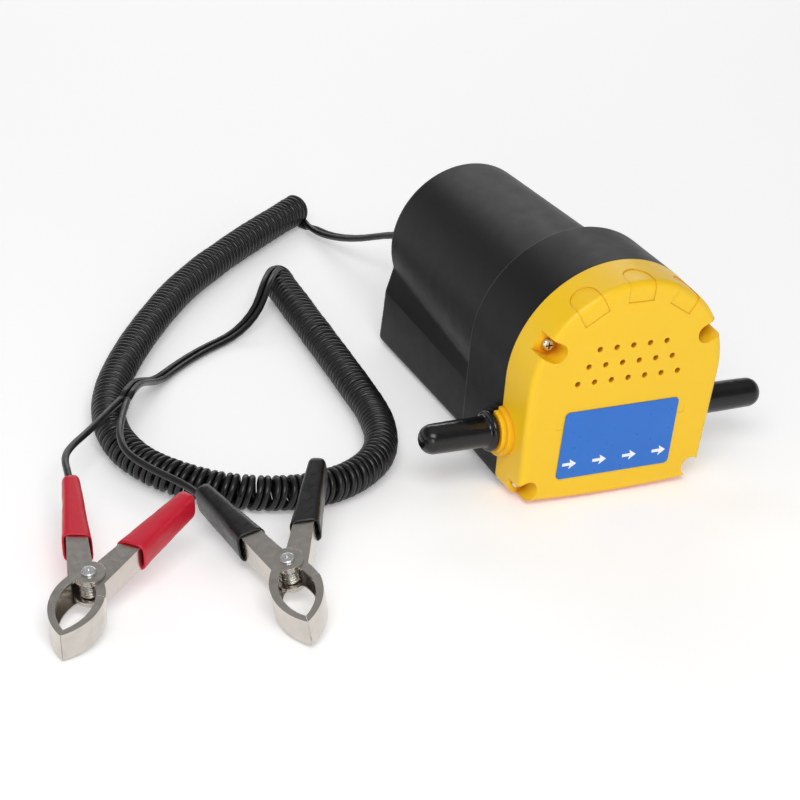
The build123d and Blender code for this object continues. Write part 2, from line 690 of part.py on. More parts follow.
# ---------------------------------------------------------------- battery clamps

def handle_point(r, offset):
    """Point on the moving handle: r out from the rivet, offset outwards across the handle."""
    a = radians(HANDLE_ANGLE)
    return -r * cos(a) + offset * sin(a), r * sin(a) + offset * cos(a)


def lever_plate():
    """Side plate of one lever: handle, lug round the rivet and rim of the jaw."""
    end_out = handle_point(HANDLE_LEN, HANDLE_DEPTH / 2)
    end_in = handle_point(HANDLE_LEN, -HANDLE_DEPTH / 2)
    handle = make_face(Polyline(end_out, NECK, (7.0, 4.6), (0, -3), (-6.2, 0.4), end_in, close=True))
    outer = ThreePointArc(NECK, JAW_BULGE, (TIP_X, TIP_GAP))
    inner = ThreePointArc((TIP_X - 3.6, TIP_GAP), (JAW_BULGE[0] + 0.5, JAW_BULGE[1] - 3.4), (7.0, 4.6))
    rim = make_face(Wire([outer, Line((TIP_X, TIP_GAP), (TIP_X - 3.6, TIP_GAP)), inner,
                          Line((7.0, 4.6), NECK)]))
    return handle + rim + Circle(LUG_R)


def lever_back():
    """Back strip of one lever, as thick as the sheet, from the handle's end to the jaw's tip."""
    end_out = handle_point(HANDLE_LEN, HANDLE_DEPTH / 2)
    end_in = (end_out[0] - 0.33, end_out[1] - SHEET_T)
    neck_in = (NECK[0] - 0.1, NECK[1] - SHEET_T)
    outer = ThreePointArc(NECK, JAW_BULGE, (TIP_X, TIP_GAP))
    inner = ThreePointArc((TIP_X - 1.5, TIP_GAP), (JAW_BULGE[0], JAW_BULGE[1] - SHEET_T), neck_in)
    return make_face(Wire([Line(end_out, NECK), outer, Line((TIP_X, TIP_GAP), (TIP_X - 1.5, TIP_GAP)),
                           inner, Line(neck_in, end_in), Line(end_in, end_out)]))


def slab(face, z0, z1):
    return Pos(0, 0, z0) * extrude(face, amount=z1 - z0, dir=(0, 0, 1))


def lever(narrow):
    """U-shaped lever bent from sheet. The narrow one runs between the other's plates."""
    half = CLAMP_W / 2
    if narrow:
        low = half - SHEET_T - 0.1
        step_x = 12.5
        jaw_side = box(step_x, 60, -30, 60, -20, 20)
        handle_side = box(-90, step_x + 1.5, -30, 60, -20, 20)
        upper = slab(lever_plate(), low - SHEET_T, low) & handle_side
        upper += slab(lever_plate(), half - SHEET_T, half) & jaw_side
        upper += slab(lever_plate(), low - SHEET_T, half) & jaw_side & handle_side
        back = slab(lever_back(), -low, low) & handle_side
        back += slab(lever_back(), -half, half) & jaw_side
        hole_r = RIVET_R + 0.07
    else:
        upper = slab(lever_plate(), half - SHEET_T, half)
        back = slab(lever_back(), -half, half)
        hole_r = RIVET_R
    shape = upper + mirror(upper, about=Plane.XY) + back
    return shape - Cylinder(hole_r, CLAMP_W + 5)


def sleeve_section(r, depth_in, depth_out, half_w, corner):
    """Rounded section across the moving handle at r from the rivet."""
    centre = (depth_out - depth_in) / 2
    x, y = handle_point(r, centre)
    a = radians(HANDLE_ANGLE)
    plane = Plane(origin=(x, y, 0), x_dir=(sin(a), cos(a), 0), z_dir=(-cos(a), sin(a), 0))
    return plane * RectangleRounded(depth_in + depth_out, 2 * half_w, corner)


def sleeve(narrow, wired):
    """PVC sleeve over a handle: closed, rounded end, slanted mouth."""
    half_w = CLAMP_W / 2 - (SHEET_T + 0.1 if narrow else 0.0)
    inner_in = HANDLE_DEPTH / 2 + 0.1
    mouth_out = 7.0
    end_r = HANDLE_LEN + 0.6
    outer = loft([sleeve_section(SLEEVE_FROM - 2, inner_in + SLEEVE_T, mouth_out + SLEEVE_T, half_w + 1.2, 2.6),
                  sleeve_section(end_r + 2.4, inner_in + SLEEVE_T - 0.3, inner_in + SLEEVE_T - 0.3,
                                 half_w + 1.0, 3.4)])
    outer = fillet(outer.edges().sort_by(Axis.X)[:8], 1.4)
    inner = loft([sleeve_section(SLEEVE_FROM - 3, inner_in, mouth_out, half_w + 0.08, 0.3),
                  sleeve_section(end_r, inner_in, inner_in, half_w + 0.08, 0.3)])
    x, y = handle_point(SLEEVE_FROM, 0)
    mouth = Pos(x, y, 0) * Rot(0, 0, -HANDLE_ANGLE - SLEEVE_SLANT) * box(0, 30, -30, 30, -20, 20)
    shape = outer - inner - mouth
    if wired:
        a = Pos(*handle_point(HANDLE_LEN, 0)) * Rot(0, 0, -HANDLE_ANGLE) * Rot(0, 90, 0)
        shape -= a * Cylinder(WIRE_D / 2 + 0.05, 20)
    return shape


def rivet():
    half = CLAMP_W / 2
    head = Pos(0, 0, half + 0.5) * Cylinder(3.0, 1.0)
    head = fillet(head.edges().group_by(Axis.Z)[-1], 0.6) - Pos(0, 0, half + 1.2) * Sphere(0.9)
    return Cylinder(RIVET_R, CLAMP_W) + head + mirror(head, about=Plane.XY)


def torsion_spring():
    """Coil round the rivet with a leg along the inside of each handle's back."""
    r = 4.0
    wire_r = 0.6
    turns = 5.5
    height = 7.2
    coil = Rot(0, 0, -90) * Pos(0, 0, -height / 2) * coil_spring(height / turns, height, r, wire_r)
    legs = []
    for side in (-1, 1):
        start = Vector(0.3, side * r, side * height / 2)
        end = Vector(-23.0, side * 14.85, side * 2.0)
        legs.append(Solid.make_cylinder(wire_r, (end - start).length, Plane(origin=start, z_dir=end - start)))
    return [coil, *legs]


def clamp_frame(position, heading, pitch, roll):
    return Pos(*position) * Rot(0, 0, heading) * Rot(0, pitch, 0) * Rot(roll, 0, 0)


def battery_clamp(colour, frame):
    """All the pieces of one clamp, by node name, in their places."""
    wired_side = Plane.XZ
    pieces = {
        "lever_wired": mirror(lever(False), about=wired_side),
        "lever_moving": lever(True),
        "sleeve_wired": mirror(sleeve(False, True), about=wired_side),
        "sleeve_moving": sleeve(True, False),
        "rivet": rivet(),
        "spring": torsion_spring(),
    }
    return {f"{colour}_clamp_{name}": place(frame, shape) for name, shape in pieces.items()}


def place(frame, shape):
    if isinstance(shape, list):
        return [frame * solid for solid in shape]
    return frame * shape


def all_nodes():
    nodes = {
        "rear_housing": rear_housing(),
        "front_cover": front_cover(),
        "label": label(),
        "cover_screws": cover_screws(),
        "pump_body": pump_body(),
        "pump_gasket": pump_gasket(),
        "pump_end_plate": pump_end_plate(),
        "pump_screws": pump_screws(),
        "shaft_bushes": shaft_bushes(),
        "shaft_seal": shaft_seal(),
        "drive_shaft": drive_shaft(),
        "pump_drive_gear": pump_drive_gear(),
        "reduction_gear": reduction_gear(),
        "idler_shaft": idler_shaft(),
        "pump_idler_gear": pump_idler_gear(),
        "inlet_spout": mirror_x(spout()),
        "outlet_spout": spout(),
        "inlet_cap": mirror_x(spout_cap()),
        "outlet_cap": spout_cap(),
        "motor_plate": motor_plate(),
        "plate_screws": plate_screws(),
        "motor_screws": motor_screws(),
        "motor_can": motor_can(),
        "motor_magnets": magnets(),
        "motor_end_cap": motor_end_cap(),
        "motor_bushes": motor_bushes(),
        "motor_shaft": motor_shaft(),
        "motor_pinion": motor_pinion(),
        "armature_core": armature_core(),
        "armature_windings": armature_windings(),
        "commutator": commutator(),
        "brush_holders": brush_holders(),
        "brushes": brushes(),
        "brush_springs": brush_springs(),
        "motor_leads": motor_leads(),
        "cable_gland": cable_gland(),
        "supply_cable": cord_tube("supply cable", SUPPLY_ROUTE, CABLE_D),
        "curly_cable": cord_tube("curly cable", CURLY_ROUTE, CURLY_D),
        "twin_cable": cord_tube("twin cable", TWIN_ROUTE, CABLE_D),
        "red_wire": cord_tube("red wire", RED_ROUTE, WIRE_D),
        "black_wire": cord_tube("black wire", BLACK_ROUTE, WIRE_D),
    }
    nodes.update(battery_clamp("red", clamp_frame(*RED_CLAMP)))
    nodes.update(battery_clamp("black", clamp_frame(*BLACK_CLAMP)))
    return nodes


for node, shape in all_nodes().items():
    if isinstance(shape, (list, ShapeList)):
        shape = Compound(list(shape))
    export_step(shape, f"parts/{node}.step")
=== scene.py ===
"""Looks of a 12 V fluid transfer pump with a curly lead and two battery clamps. Metres, Z up."""

import json
from math import cos, exp, pi, radians, sin, tan

import bpy
from mathutils import Matrix, Vector, noise


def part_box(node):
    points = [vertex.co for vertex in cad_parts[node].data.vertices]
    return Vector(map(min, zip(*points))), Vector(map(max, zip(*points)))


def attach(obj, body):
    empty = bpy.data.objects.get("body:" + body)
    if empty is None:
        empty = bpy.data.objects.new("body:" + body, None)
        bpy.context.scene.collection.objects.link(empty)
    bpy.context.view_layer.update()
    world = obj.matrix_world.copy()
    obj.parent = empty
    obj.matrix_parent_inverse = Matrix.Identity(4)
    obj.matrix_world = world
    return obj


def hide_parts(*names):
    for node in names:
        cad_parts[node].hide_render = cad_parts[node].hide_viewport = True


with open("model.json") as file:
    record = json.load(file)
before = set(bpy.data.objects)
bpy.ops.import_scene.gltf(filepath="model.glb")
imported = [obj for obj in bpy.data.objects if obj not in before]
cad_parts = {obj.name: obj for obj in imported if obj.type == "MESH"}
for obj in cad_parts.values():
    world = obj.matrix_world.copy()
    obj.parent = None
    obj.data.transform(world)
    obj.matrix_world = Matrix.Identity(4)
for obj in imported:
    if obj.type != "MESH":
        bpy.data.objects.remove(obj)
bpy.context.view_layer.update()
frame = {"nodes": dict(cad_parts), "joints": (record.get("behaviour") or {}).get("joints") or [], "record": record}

MM = 0.001
NODES = frame["nodes"]
RECORD = frame["record"]

# Camera
VIEW_AZIMUTH = radians(-30.7)
VIEW_ELEVATION = radians(28.7)
VIEW_ROLL = radians(7.8)
VIEW_DISTANCE = 1.24
VIEW_TARGET = Vector((-0.0906, -0.0417, 0.0413))
VIEW_LENS = 128.7

# The lead: a flat twin of two round conductors, wound into a curly part between its ends
LOBE_R = 1.55
LOBE_OFFSET = 0.92 * LOBE_R
COIL_R = 8.2 - LOBE_R - 0.1
COIL_STEPS = 16
PITCH_TIGHT = 6.1
PITCH_LOOSE = 7.0
WIRE_R = 1.6
SUPPLY_ROUTE = [(-4, 74, 40), (-4, 104, 39), (-7, 128, 30), (-13, 152, 16),
                (-16.5, 176, 6.5), (-19.2, 195, 4.2)]
CURLY_ROUTE = [(-17, 208, 8.3), (-94, 159, 8.3), (-155, 96, 8.3), (-196, 38, 8.3), (-201, -10, 8.3),
               (-168, -47, 8.3), (-120, -54, 8.3), (-80, -24, 8.3), (-72, 50, 8.3), (-65, 138, 8.3)]
TWIN_ROUTE = [(-70, 130, 18.5), (-80, 116, 17.5), (-90, 103, 10), (-104, 96, 2.6), (-124, 87, 2.5),
              (-143, 75, 2.5), (-158, 62, 4), (-170, 50, 12), (-181, 38, 19), (-191, 24, 20)]
RED_ROUTE = [(-191, 24, 20), (-203, 15, 19.5), (-216, 4, 18.5), (-228, -7, 19.5), (-236, -19, 22),
             (-239.4, -33, 22.4), (-242.6, -46, 20.8)]
BLACK_ROUTE = [(-191, 24, 20), (-198, 10, 19.8), (-204.5, -3, 19.3), (-206.5, -16, 18.3), (-201, -28, 17),
               (-193.5, -38, 15.8), (-188.4, -47, 15.2), (-186.4, -56, 14.9)]

# Battery clamps, in each clamp's own frame: rivet on Z at its origin, jaws towards +X
HANDLE_ANGLE = radians(24.0)
HANDLE_LEN = 60.0
SLEEVE_FROM = 22.5
SLEEVE_SLANT = radians(14.0)
CLAMP_HALF_W = 6.5


# ---------------------------------------------------------------- mesh tools

def metres(points):
    return [Vector(p) * MM for p in points]


def mesh_object(name, verts, faces, smooth=True):
    mesh = bpy.data.meshes.new(name)
    mesh.from_pydata([tuple(v) for v in verts], [], faces)
    mesh.validate()
    mesh.polygons.foreach_set("use_smooth", [smooth] * len(mesh.polygons))
    mesh.update()
    obj = bpy.data.objects.new(name, mesh)
    bpy.context.scene.collection.objects.link(obj)
    return obj


def spline_points(points, resolution):
    """Points along the smooth NURBS line that has these as its control points."""
    curve = bpy.data.curves.new("route", "CURVE")
    curve.dimensions = "3D"
    curve.resolution_u = resolution
    spline = curve.splines.new("NURBS")
    spline.points.add(len(points) - 1)
    for point, at in zip(spline.points, points):
        point.co = (*at, 1.0)
    spline.order_u = 3
    spline.use_endpoint_u = True
    obj = bpy.data.objects.new("route", curve)
    bpy.context.scene.collection.objects.link(obj)
    mesh = bpy.data.meshes.new_from_object(obj)
    path = [v.co.copy() for v in mesh.vertices]
    bpy.data.objects.remove(obj)
    bpy.data.curves.remove(curve)
    bpy.data.meshes.remove(mesh)
    return path


def tangents(path):
    out = []
    for i in range(len(path)):
        ahead = path[min(i + 1, len(path) - 1)]
        behind = path[max(i - 1, 0)]
        out.append((ahead - behind).normalized())
    return out


def arc_lengths(path):
    total = [0.0]
    for a, b in zip(path, path[1:]):
        total.append(total[-1] + (b - a).length)
    return total


def sweep(name, path, section, ups):
    """Tube with the closed section (across, up) along the path, its up kept near ups."""
    verts = []
    n = len(section)
    last = len(path) - 1
    for i, (p, t) in enumerate(zip(path, tangents(path))):
        side = t.cross(ups[i]).normalized()
        up = side.cross(t)
        verts += [p + side * a + up * b for a, b in section]
    faces = [(i * n + j, i * n + (j + 1) % n, (i + 1) * n + (j + 1) % n, (i + 1) * n + j)
             for i in range(last) for j in range(n)]
    faces.append(tuple(range(n - 1, -1, -1)))
    faces.append(tuple(last * n + j for j in range(n)))
    return mesh_object(name, verts, faces)


def ring(radius, count):
    return [(radius * cos(2 * pi * i / count), radius * sin(2 * pi * i / count)) for i in range(count)]


def twin_section(steps):
    """Outline of two round conductors side by side, joined by a thin web."""
    half_open = 0.4
    section = []
    for centre, start in ((LOBE_OFFSET, -pi + half_open), (-LOBE_OFFSET, half_open)):
        for i in range(steps + 1):
            a = start + (2 * pi - 2 * half_open) * i / steps
            section.append(((centre + LOBE_R * cos(a)) * MM, LOBE_R * sin(a) * MM))
    return section


def level_ups(path):
    return [Vector((0, 0, 1))] * len(path)


# ---------------------------------------------------------------- camera

def make_camera():
    a, e, r = VIEW_AZIMUTH, VIEW_ELEVATION, VIEW_ROLL
    back = Vector((sin(a) * cos(e), -cos(a) * cos(e), sin(e)))
    right = Vector((cos(a), sin(a), 0))
    up = back.cross(right)
    rolled_right = cos(r) * right + sin(r) * up
    rolled_up = cos(r) * up - sin(r) * right
    turn = Matrix((rolled_right, rolled_up, back)).transposed().to_4x4()
    camera = bpy.data.objects.new("camera", bpy.data.cameras.new("camera"))
    camera.matrix_world = Matrix.Translation(VIEW_TARGET + VIEW_DISTANCE * back) @ turn
    camera.data.lens = VIEW_LENS
    camera.data.clip_start = 0.05
    bpy.context.scene.collection.objects.link(camera)
    bpy.context.scene.camera = camera


make_camera()


# ---------------------------------------------------------------- cords

def coil_pitch(share):
    """Distance between turns: close at the pump's end, drawn apart at the front of the loop."""
    front = exp(-((share - 0.60) / 0.16) ** 2)
    late = exp(-((share - 0.82) / 0.10) ** 2)
    wave = 0.35 * noise.noise(Vector((share * 23.0, 3.1, 0.7)))
    return PITCH_TIGHT + (PITCH_LOOSE - PITCH_TIGHT) * min(1.0, 0.95 * front + 0.55 * late) + wave


def coil_turns():
    """Control points of the wound part, and the outward direction at each."""
    axis = spline_points(metres(CURLY_ROUTE), 40)
    along = arc_lengths(axis)
    directions = tangents(axis)
    total = along[-1]
    points, outward = [], []
    at = 4.0 * MM
    angle = -pi / 2
    k = 0
    while at < total - 5.0 * MM:
        while along[k + 1] < at:
            k += 1
        share = at / total
        blend = (at - along[k]) / (along[k + 1] - along[k])
        centre = axis[k].lerp(axis[k + 1], blend)
        ahead = directions[k].lerp(directions[k + 1], blend)
        level = Vector((ahead.y, -ahead.x, 0)).normalized()
        out = level * cos(angle) + Vector((0, 0, 1)) * sin(angle)
        wander = noise.noise(Vector((share * 41.0, 8.3, 1.9)))
        last_turn = max(0.0, (share - 0.985) / 0.015)
        radius = COIL_R - 0.25 - 0.25 * wander + 1.2 * last_turn
        lean = (0.7 + 0.9 * noise.noise(Vector((share * 29.0, 5.7, 4.4)))) * cos(angle - 0.6)
        lift = 1.2 * last_turn
        points.append(centre + out * radius * MM + ahead * lean * MM + Vector((0, 0, lift * MM)))
        outward.append(out)
        angle += 2 * pi / COIL_STEPS
        at += coil_pitch(share) * MM / COIL_STEPS
    return points, outward


def ease_bend(points, first, last):
    """Even out the points from first to last, so that the line bends gently there."""
    for _ in range(2):
        for k in range(first, last + 1):
            points[k] = (points[k - 1] + 2 * points[k] + points[k + 1]) / 4


def power_lead():
    turns, outward = coil_turns()
    start = metres(SUPPLY_ROUTE)
    end = metres(TWIN_ROUTE)
    up = Vector((0, 0, 1))
    control = start + turns + end
    coil_start = len(start)
    coil_end = coil_start + len(turns)
    ease_bend(control, coil_start - 1, coil_start + 4)
    ease_bend(control, coil_end - 4, coil_end)
    control_ups = [up] * (len(start) - 1) + [Vector((0.5, -0.8, 0.2))] + outward + [up] * len(end)
    resolution = 3
    path = spline_points(control, resolution)
    ups = []
    for i in range(len(path)):
        place = i / (len(path) - 1) * (len(control) - 1)
        k = min(int(place), len(control) - 2)
        ups.append(control_ups[k].lerp(control_ups[k + 1], place - k))
    lead = sweep("power_lead", path, twin_section(8), ups)
    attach(lead, "root")
    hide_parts("supply_cable", "curly_cable", "twin_cable")
    return lead


def single_wire(name, route, shift):
    control = metres(route)
    control[0] = control[0] + Vector(shift) * MM
    path = spline_points(control, 12)
    wire = sweep(name + "_core", path, [(a * MM, b * MM) for a, b in ring(WIRE_R, 14)], level_ups(path))
    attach(wire, "root")
    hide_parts(name)
    return wire


# ---------------------------------------------------------------- battery clamps

def clamp_frame(colour):
    """Matrix from the clamp's own frame to the row's, from its hinge and its jaw mount."""
    joint = next(j for j in frame["joints"] if j["name"] == f"{colour}_jaw_open")
    mount = next(m for m in RECORD["mounts"] if m["name"] == f"{colour}_clamp_jaws")
    z = Vector(joint["axis"]).normalized()
    x = Vector(mount["axis"]).normalized()
    y = z.cross(x)
    turn = Matrix((x, y, z)).transposed().to_4x4()
    return Matrix.Translation(Vector(joint["pos_m"])) @ turn @ Matrix.Scale(MM, 4)


def handle_point(r, offset):
    """Point of the moving handle, r out from the rivet and offset outwards across it."""
    a = HANDLE_ANGLE
    return -r * cos(a) + offset * sin(a), r * sin(a) + offset * cos(a)


def quads_between(ring_index, count):
    """Faces that join one ring of a lofted skin to the next."""
    near, far = ring_index * count, (ring_index + 1) * count
    for j in range(count):
        k = (j + 1) % count
        yield near + j, near + k, far + k, far + j


def rounded_box(half_a, half_b, power, count):
    """Closed superellipse outline."""
    outline = []
    for i in range(count):
        a = 2 * pi * i / count
        c, s = cos(a), sin(a)
        outline.append((half_a * abs(c) ** (2 / power) * (1 if c > 0 else -1),
                        half_b * abs(s) ** (2 / power) * (1 if s > 0 else -1)))
    return outline


def smooth_step(x):
    x = min(1.0, max(0.0, x))
    return x * x * (3 - 2 * x)


def sleeve(colour, part, wired):
    """Soft vinyl sleeve, pulled over one handle, with a slanted mouth, dents and creases."""
    to_world = clamp_frame(colour)
    flip = -1 if wired else 1
    wide = CLAMP_HALF_W if wired else CLAMP_HALF_W - 1.1
    seed = {"red": 3.0, "black": 11.0}[colour] + (5.0 if wired else 0.0)
    stations, count = 44, 48
    mouth_depth, taper, channel_depth, dome_len = 8.1, 4.2, 4.0, 3.4
    end_r = HANDLE_LEN + 2.9
    verts, faces = [], []

    def add_ring(r, share, inset, dome):
        out_depth = mouth_depth - taper * share - inset
        in_depth = channel_depth - inset
        half_depth = (out_depth + in_depth) / 2 * dome
        middle = (out_depth - in_depth) / 2
        half_w = (wide + 1.15 - 0.15 * share - inset) * dome
        for a, b in rounded_box(half_depth, half_w, 4.4 - 0.8 * share, count):
            offset = middle + a
            slant = -(offset) * tan(SLEEVE_SLANT) * (1 - smooth_step(share * 2.2))
            inner = smooth_step(-a / half_depth) if half_depth > 0 else 0
            channel = smooth_step((wide - 1.9 - abs(b)) / 1.4)
            pinch = 1.5 * inner * channel * exp(-((share - 0.55) / 0.16) ** 2) * (1.0 if wired else 0.35)
            wave = noise.noise(Vector((r * 0.10 + offset * 0.16, offset * 0.10 + seed, b * 0.16)))
            crease = noise.noise(Vector((r * 0.05 + seed, (offset + r * 0.35) * 0.42, b * 0.22)))
            ease = smooth_step(share * 6) * smooth_step((1 - share) * 6)
            shrink = (0.16 * wave + 0.16 * abs(crease)) * ease + pinch
            reach = max(0.2, 1 - shrink / max(0.5, half_depth))
            x, y = handle_point(r - slant, middle + a * reach)
            z = b * (1 - 0.35 * shrink / max(1.0, half_w) * ease)
            verts.append(to_world @ Vector((x, flip * y, z)))

    rows = [(SLEEVE_FROM + 12.0 - 2.4 * i, 0.32 - 0.064 * i, 1.0, 1.0) for i in range(5)]
    rows += [(SLEEVE_FROM + 0.1, 0.0, 0.8, 1.0), (SLEEVE_FROM - 0.1, 0.0, 0.35, 1.0)]
    for i in range(stations):
        share = i / (stations - 1)
        rows.append((SLEEVE_FROM + (end_r - dome_len - SLEEVE_FROM) * share, share, 0.0, 1.0))
    for i in range(1, 9):
        a = pi / 2 * i / 8
        rows.append((end_r - dome_len + dome_len * sin(a), 1.0, 0.0, 0.55 + 0.45 * cos(a)))
    if wired:
        rows.append((end_r - 0.3, 1.0, 0.0, 0.34))
        rows.append((end_r - 2.0, 1.0, 0.0, 0.30))
    else:
        rows.append((end_r, 1.0, 0.0, 0.3))
    for row in rows:
        add_ring(*row)
    for i in range(len(rows) - 1):
        faces += [quad if flip > 0 else quad[::-1] for quad in quads_between(i, count)]
    last = (len(rows) - 1) * count
    if not wired:
        cap = tuple(last + j for j in range(count))
        faces.append(cap if flip > 0 else cap[::-1])
    obj = mesh_object(f"{colour}_{part}_skin", verts, faces)
    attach(obj, "root" if wired else f"{colour}_jaw")
    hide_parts(f"{colour}_clamp_{part}")
    return obj


def torsion_spring(colour):
    """Wound spring round the rivet; each leg runs along the inside of its own handle."""
    to_world = clamp_frame(colour)
    r, wire_r, height, turns, steps = 4.0, 0.62, 7.2, 5.5, 20
    count = int(turns * steps)
    coil = []
    for i in range(count + 1):
        a = -pi / 2 + 2 * pi * i / steps
        coil.append(Vector((r * cos(a), r * sin(a), height * (i / count - 0.5))))
    section = [(a * MM, b * MM) for a, b in ring(wire_r, 10)]
    local = {
        "root": [Vector((-23, -14.85, -2)), Vector((-12, -10.5, -3.0)), Vector((-3.5, -5.2, -3.6))] + coil,
        f"{colour}_jaw": [coil[-1], Vector((-3.5, 5.2, 3.6)), Vector((-12, 10.5, 3.0)),
                          Vector((-23, 14.85, 2))],
    }
    pieces = []
    for body, points in local.items():
        path = spline_points([to_world @ p for p in points], 4)
        axis = to_world.to_3x3() @ Vector((0, 0, 1))
        piece = sweep(f"{colour}_spring_{body.split('_')[-1]}", path, section, [axis] * len(path))
        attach(piece, body)
        pieces.append(piece)
    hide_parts(f"{colour}_clamp_spring")
    return pieces


def build_clamp(colour):
    skins = [sleeve(colour, "sleeve_wired", True), sleeve(colour, "sleeve_moving", False)]
    return skins, torsion_spring(colour)


# ---------------------------------------------------------------- caps and label

def spout_cap(node, side):
    """Dipped vinyl cap: a rolled collar, a slightly slack tube and a domed end."""
    low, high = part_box(node)
    rim_x, tip_x = sorted((low.x, high.x), key=abs)
    length = abs(tip_x - rim_x) / MM
    centre = Vector((rim_x, (low.y + high.y) / 2, (low.z + high.z) / 2))
    profile = [(0.0, 5.2), (0.0, 7.6)]
    for i in range(9):
        a = -pi / 2 + pi * i / 8
        profile.append((1.4 + 1.4 * sin(a), 7.8 + 1.4 * cos(a)))
    profile += [(3.1, 7.35), (3.9, 7.05), (6, 6.95), (12, 6.9), (18, 6.88), (24, 6.8), (length - 6.2, 6.72)]
    for i in range(1, 13):
        a = pi / 2 * i / 12
        profile.append((length - 6.2 + 6.2 * sin(a), 6.72 * cos(a) ** 0.85 if i < 12 else 0.02))
    count = 64
    verts, faces = [], []
    for x, r in profile:
        for j in range(count):
            a = 2 * pi * j / count
            slack = 0.07 * noise.noise(Vector((x * 0.16, 2 * cos(a), 2 * sin(a) + side * 9)))
            rr = r + slack * smooth_step(x / 6)
            verts.append(centre + Vector((side * x, rr * cos(a), rr * sin(a))) * MM)
    for i in range(len(profile) - 1):
        for j in range(count):
            k = (j + 1) % count
            quad = (i * count + j, (i + 1) * count + j, (i + 1) * count + k, i * count + k)
            faces.append(quad if side > 0 else quad[::-1])
    obj = mesh_object(f"{node}_skin", verts, faces)
    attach(obj, node)
    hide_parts(node)
    return obj


def label_arrows():
    """Four plain arrows printed along the label's lower edge, in the direction of flow."""
    low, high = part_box("label")
    height = high.z - low.z
    spacing = 15.4 * MM
    half_shaft, half_head = 0.75 * MM, 2.5 * MM
    shaft, head = 3.9 * MM, 3.2 * MM
    y = low.y - 0.05 * MM
    verts, faces = [], []
    for i in range(4):
        x = low.x + 2.2 * MM + spacing * i
        z = low.z + height * 0.215
        neck = x + shaft
        tip = neck + head
        outline = [(x, z - half_shaft), (neck, z - half_shaft), (neck - 0.5 * MM, z - half_head),
                   (tip, z), (neck - 0.5 * MM, z + half_head), (neck, z + half_shaft), (x, z + half_shaft)]
        base = len(verts)
        n = len(outline)
        verts += [Vector((px, y, pz)) for px, pz in outline]
        verts += [Vector((px, low.y + 0.05 * MM, pz)) for px, pz in outline]
        faces.append(tuple(base + k for k in range(n)))
        faces += [(base + k, base + n + k, base + n + (k + 1) % n, base + (k + 1) % n) for k in range(n)]
    obj = mesh_object("label_arrows", verts, faces, smooth=False)
    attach(obj, "root")
    return obj


# ---------------------------------------------------------------- materials

